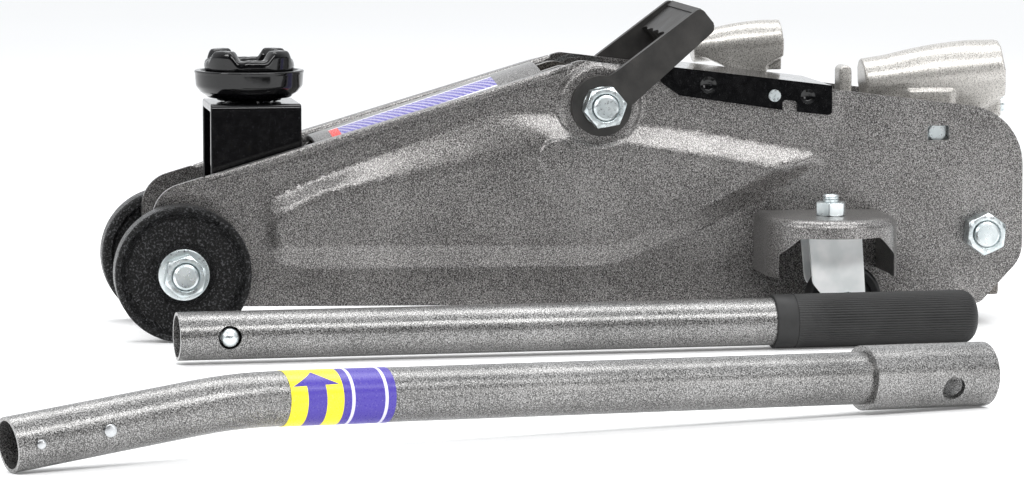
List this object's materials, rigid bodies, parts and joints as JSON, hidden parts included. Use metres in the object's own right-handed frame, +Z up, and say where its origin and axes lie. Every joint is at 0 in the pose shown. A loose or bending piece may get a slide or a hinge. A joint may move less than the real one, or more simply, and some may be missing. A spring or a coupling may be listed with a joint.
{
  "type": "trolley jack",
  "caption": "Low hydraulic trolley jack with pressed side plates, swivelling saddle, carry handle, steering casters and a two-piece pump handle laid in front.",
  "frame": {"origin": "middle of the bottom of the whole set, on the floor", "axes": "+X from the front wheels to the rear handle socket, +Y from the handles that lie beside the jack towards it, +Z up"},
  "size_m": [0.5106, 0.5994, 0.1536],
  "materials": {
    "hammered_grey_paint": "dark silver-grey speckled powder coat, satin",
    "dark_grey_paint": "dark grey paint, satin",
    "silver_hammered_tube_paint": "silver speckled powder coat",
    "cast_silver_paint": "silver paint on a rough casting",
    "gloss_black_enamel": "gloss black enamel",
    "black_cast_iron": "black paint on rough cast iron",
    "bright_zinc": "bright bluish zinc plating",
    "machined_steel": "turned steel",
    "spring_steel": "drawn wire",
    "black_nylon": "moulded nylon",
    "charcoal_plastic": "moulded plastic with a fine grain",
    "grip_rubber": "ribbed black rubber",
    "printed_label": "printed film with plain stripes"
  },
  "bodies": {
    "chassis": {"side_plate_left": "hammered_grey_paint", "side_plate_right": "hammered_grey_paint", "front_axle": "bright_zinc", "m12_nuts": "bright_zinc", "m12_washers": "bright_zinc", "front_spacer_tube": "dark_grey_paint", "arm_pivot_shaft": "bright_zinc", "rear_bolt": "bright_zinc", "cover_plate": "gloss_black_enamel", "cover_pins": "bright_zinc", "link_pivot_pin": "bright_zinc", "pump_base": "dark_grey_paint", "ram_cylinder": "machined_steel", "reservoir_tube": "dark_grey_paint", "gland_nut": "machined_steel", "filler_plug": "bright_zinc", "pump_housing": "machined_steel", "socket_pivot_bolt": "bright_zinc", "caster_bracket_left": "hammered_grey_paint", "caster_bracket_right": "hammered_grey_paint", "caster_king_bolts": "bright_zinc", "caster_king_nuts": "bright_zinc", "stowage_cup": "cast_silver_paint", "stowage_cup_screw": "bright_zinc"},
    "front_wheel_l": {"front_wheel_left": "black_cast_iron"},
    "front_wheel_r": {"front_wheel_right": "black_cast_iron"},
    "lift_arm": {"arm_plate_left": "dark_grey_paint", "arm_plate_right": "dark_grey_paint", "arm_cover": "hammered_grey_paint", "arm_pivot_tube": "dark_grey_paint", "arm_front_pin": "bright_zinc", "arm_label": "printed_label"},
    "saddle_bracket": {"saddle_post": "gloss_black_enamel", "saddle_link_pin": "bright_zinc"},
    "saddle": {"saddle_cup": "gloss_black_enamel", "saddle_crown": "gloss_black_enamel", "saddle_ring": "bright_zinc"},
    "level_link": {"levelling_link": "dark_grey_paint"},
    "ram": {"ram_rod": "machined_steel", "ram_piston": "machined_steel", "crosshead_pin": "bright_zinc", "return_springs": "spring_steel"},
    "socket": {"handle_socket": "cast_silver_paint", "socket_screw": "bright_zinc"},
    "plunger": {"pump_plunger": "machined_steel", "plunger_spring": "spring_steel"},
    "valve": {"release_valve": "bright_zinc"},
    "carry": {"carry_handle": "charcoal_plastic"},
    "swivel_left": {"caster_fork_left": "bright_zinc", "caster_axle_left": "bright_zinc"},
    "swivel_right": {"caster_fork_right": "bright_zinc", "caster_axle_right": "bright_zinc"},
    "swivel_wheel_left": {"caster_wheel_left": "black_nylon"},
    "swivel_wheel_right": {"caster_wheel_right": "black_nylon"},
    "upper_handle": {"upper_handle_tube": "silver_hammered_tube_paint", "handle_grip": "grip_rubber"},
    "spring_button": {"handle_button": "bright_zinc"},
    "lower_handle": {"lower_handle_tube": "silver_hammered_tube_paint", "handle_sleeve": "silver_hammered_tube_paint", "handle_label": "printed_label"}
  },
  "joints": [
    {"name": "lift_arm_pivot", "type": "hinge", "parent": "chassis", "child": "lift_arm", "pos_m": [0.04968, 0.20067, 0.108], "axis": [0, 1, 0], "range_deg": [0, 68]},
    {"name": "saddle_level", "type": "hinge", "parent": "lift_arm", "child": "saddle_bracket", "pos_m": [-0.11322, 0.20067, 0.05601], "axis": [0, 1, 0], "range_deg": [-68, 0]},
    {"name": "link_pivot", "type": "hinge", "parent": "chassis", "child": "level_link", "pos_m": [0.04968, 0.20067, 0.086], "axis": [0, 1, 0], "range_deg": [0, 68]},
    {"name": "ram_slide", "type": "slide", "parent": "chassis", "child": "ram", "axis": [-1, 0, 0], "range_m": [0, 0.08368], "deforming": ["return_springs"]},
    {"name": "saddle_swivel", "type": "hinge", "parent": "saddle_bracket", "child": "saddle", "pos_m": [-0.11322, 0.20067, 0.109], "axis": [0, 0, 1], "continuous": true},
    {"name": "socket_pivot", "type": "hinge", "parent": "chassis", "child": "socket", "pos_m": [0.21418, 0.20067, 0.093], "axis": [0, -1, 0], "range_deg": [0, 45]},
    {"name": "plunger_slide", "type": "slide", "parent": "chassis", "child": "plunger", "axis": [0, 0, -1], "range_m": [0, 0.00943], "deforming": ["plunger_spring"]},
    {"name": "release_valve_turn", "type": "hinge", "parent": "chassis", "child": "valve", "pos_m": [0.24668, 0.20067, 0.07], "axis": [1, 0, 0], "range_deg": [0, 180]},
    {"name": "carry_handle_pivot", "type": "hinge", "parent": "chassis", "child": "carry", "pos_m": [0.04968, 0.20067, 0.108], "axis": [0, -1, 0], "range_deg": [-8, 46]},
    {"name": "front_wheel_spin_left", "type": "hinge", "parent": "chassis", "child": "front_wheel_l", "pos_m": [-0.14932, 0.15357, 0.032], "axis": [0, 1, 0], "continuous": true},
    {"name": "front_wheel_spin_right", "type": "hinge", "parent": "chassis", "child": "front_wheel_r", "pos_m": [-0.14932, 0.24777, 0.032], "axis": [0, 1, 0], "continuous": true},
    {"name": "swivel_turn_left", "type": "hinge", "parent": "chassis", "child": "swivel_left", "pos_m": [0.15518, 0.13267, 0.052], "axis": [0, 0, 1], "continuous": true},
    {"name": "swivel_turn_right", "type": "hinge", "parent": "chassis", "child": "swivel_right", "pos_m": [0.15518, 0.26867, 0.052], "axis": [0, 0, 1], "continuous": true},
    {"name": "swivel_wheel_spin_left", "type": "hinge", "parent": "swivel_left", "child": "swivel_wheel_left", "pos_m": [0.16118, 0.13267, 0.0175], "axis": [0, 1, 0], "continuous": true},
    {"name": "swivel_wheel_spin_right", "type": "hinge", "parent": "swivel_right", "child": "swivel_wheel_right", "pos_m": [0.16118, 0.26867, 0.0175], "axis": [0, 1, 0], "continuous": true},
    {"name": "upper_handle_lift", "type": "slide", "parent": "chassis", "child": "upper_handle", "axis": [0, 0, 1], "range_m": [0, 0.2]},
    {"name": "button_press", "type": "slide", "parent": "upper_handle", "child": "spring_button", "axis": [-0.0872, 0.9962, 0], "range_m": [0, 0.003], "stiffness_N_per_m": 500},
    {"name": "lower_handle_lift", "type": "slide", "parent": "chassis", "child": "lower_handle", "axis": [0, 0, 1], "range_m": [0, 0.2]}
  ],
  "couplings": [
    {"joint": "saddle_level", "follows": "lift_arm_pivot", "ratio": -1},
    {"joint": "link_pivot", "follows": "lift_arm_pivot", "ratio": 1},
    {"joint": "ram_slide", "follows": "lift_arm_pivot", "m_per_rad": 0.0705},
    {"joint": "plunger_slide", "follows": "socket_pivot", "m_per_rad": 0.012}
  ]
}
